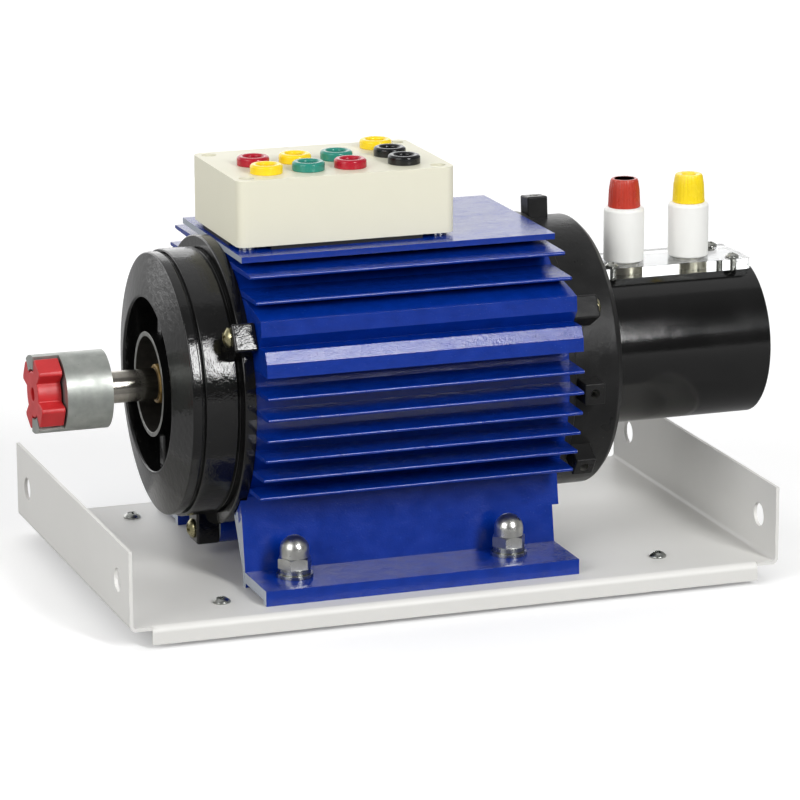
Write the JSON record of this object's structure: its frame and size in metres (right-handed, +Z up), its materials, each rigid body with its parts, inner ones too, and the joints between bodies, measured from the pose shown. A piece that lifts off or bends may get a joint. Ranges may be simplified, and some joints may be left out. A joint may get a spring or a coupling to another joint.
{
  "type": "laboratory synchronous motor",
  "caption": "Finned synchronous motor on a folded sheet tray, with a jaw coupling, a slip-ring housing with brush holders and a terminal box with plug sockets for teaching.",
  "frame": {"origin": "middle of the outline in X and Y, on the surface that the rubber feet stand on", "axes": "+X along the motor axis from the coupling to the slip rings, +Y from the front with the full row of sockets to the rear, +Z up"},
  "size_m": [0.3316, 0.188, 0.1878],
  "materials": {
    "tray_white": "fine powder coat",
    "rubber_black": "matte",
    "zinc_steel": "bright zinc",
    "yellow_zinc": "yellow zinc",
    "nickel": "bright nickel",
    "frame_blue": "semi-gloss paint",
    "cast_black": "thick gloss paint",
    "core_steel": "stacked sheet",
    "winding_copper": "varnished wire",
    "bearing_steel": "ground",
    "shaft_steel": "turned",
    "collar_bronze": "oily bronze",
    "hub_aluminium": "fine cast",
    "spider_red": "satin",
    "insulator_brown": "satin",
    "brass": "turned",
    "tube_black": "gloss paint",
    "plastic_black": "satin",
    "acrylic_clear": "polished sheet",
    "nylon_white": "satin",
    "carbon": "matte",
    "spring_steel": "drawn wire",
    "box_cream": "moulded, satin gloss",
    "socket_yellow": "moulded",
    "socket_green": "moulded",
    "socket_red": "moulded",
    "socket_black": "moulded",
    "cap_red": "moulded",
    "cap_yellow": "moulded"
  },
  "bodies": {
    "stator": {"base_tray": "tray_white", "rubber_feet": "rubber_black", "foot_screws": "zinc_steel", "foot_nuts": "zinc_steel", "motor_frame": "frame_blue", "mounting_bolts": "zinc_steel", "mounting_washers": "zinc_steel", "spring_washers": "spring_steel", "acorn_nuts": "nickel", "stator_core": "core_steel", "stator_winding": "winding_copper", "drive_end_shield": "cast_black", "rear_end_shield": "cast_black", "drive_shield_screws": "yellow_zinc", "rear_shield_screws": "yellow_zinc", "bearing_outer_rings": "bearing_steel", "preload_washer": "spring_steel", "slip_ring_tube": "tube_black", "tube_end_cap": "plastic_black", "terminal_plate": "acrylic_clear", "plate_screws": "zinc_steel", "brush_sleeves": "nylon_white", "brush_guides": "brass", "red_brush_spring": "spring_steel", "yellow_brush_spring": "spring_steel", "terminal_box": "box_cream", "box_screws": "zinc_steel", "box_spacers": "zinc_steel", "box_seals": "rubber_black", "yellow_sockets": "socket_yellow", "green_sockets": "socket_green", "red_sockets": "socket_red", "black_sockets": "socket_black", "socket_contacts": "brass", "socket_nuts": "plastic_black"},
    "rotor": {"shaft": "shaft_steel", "shaft_key": "shaft_steel", "shaft_collar": "collar_bronze", "rotor_core": "core_steel", "field_coils": "winding_copper", "coupling_hub": "hub_aluminium", "hub_set_screw": "zinc_steel", "coupling_spider": "spider_red", "slip_ring_sleeve": "insulator_brown", "slip_rings": "brass", "bearing_inner_rings": "bearing_steel", "bearing_balls": "bearing_steel"},
    "red_brush": {"red_brush": "carbon"},
    "yellow_brush": {"yellow_brush": "carbon"},
    "red_contact": {"red_cap_contact": "brass"},
    "yellow_contact": {"yellow_cap_contact": "brass"},
    "red_cap": {"red_cap": "cap_red"},
    "yellow_cap": {"yellow_cap": "cap_yellow"}
  },
  "joints": [
    {"name": "rotor_spin", "type": "hinge", "parent": "stator", "child": "rotor", "pos_m": [-0.0028, 0, 0.09], "axis": [1, 0, 0], "continuous": true},
    {"name": "red_brush_slide", "type": "slide", "parent": "stator", "child": "red_brush", "axis": [0, 0, 1], "range_m": [0, 0.004], "stiffness_N_per_m": 150, "springref_m": -0.02, "deforming": ["red_brush_spring"]},
    {"name": "red_cap_rise", "type": "slide", "parent": "stator", "child": "red_contact", "axis": [0, 0, 1], "range_m": [0, 0.005]},
    {"name": "red_cap_turn", "type": "hinge", "parent": "red_contact", "child": "red_cap", "pos_m": [0.1087, 0, 0.153], "axis": [0, 0, 1], "range_deg": [0, 1440]},
    {"name": "yellow_brush_slide", "type": "slide", "parent": "stator", "child": "yellow_brush", "axis": [0, 0, 1], "range_m": [0, 0.004], "stiffness_N_per_m": 150, "springref_m": -0.02, "deforming": ["yellow_brush_spring"]},
    {"name": "yellow_cap_rise", "type": "slide", "parent": "stator", "child": "yellow_contact", "axis": [0, 0, 1], "range_m": [0, 0.005]},
    {"name": "yellow_cap_turn", "type": "hinge", "parent": "yellow_contact", "child": "yellow_cap", "pos_m": [0.14, 0, 0.153], "axis": [0, 0, 1], "range_deg": [0, 1440]}
  ],
  "couplings": [
    {"joint": "red_cap_turn", "follows": "red_cap_rise", "rad_per_m": 5026.5},
    {"joint": "yellow_cap_turn", "follows": "yellow_cap_rise", "rad_per_m": 5026.5}
  ]
}
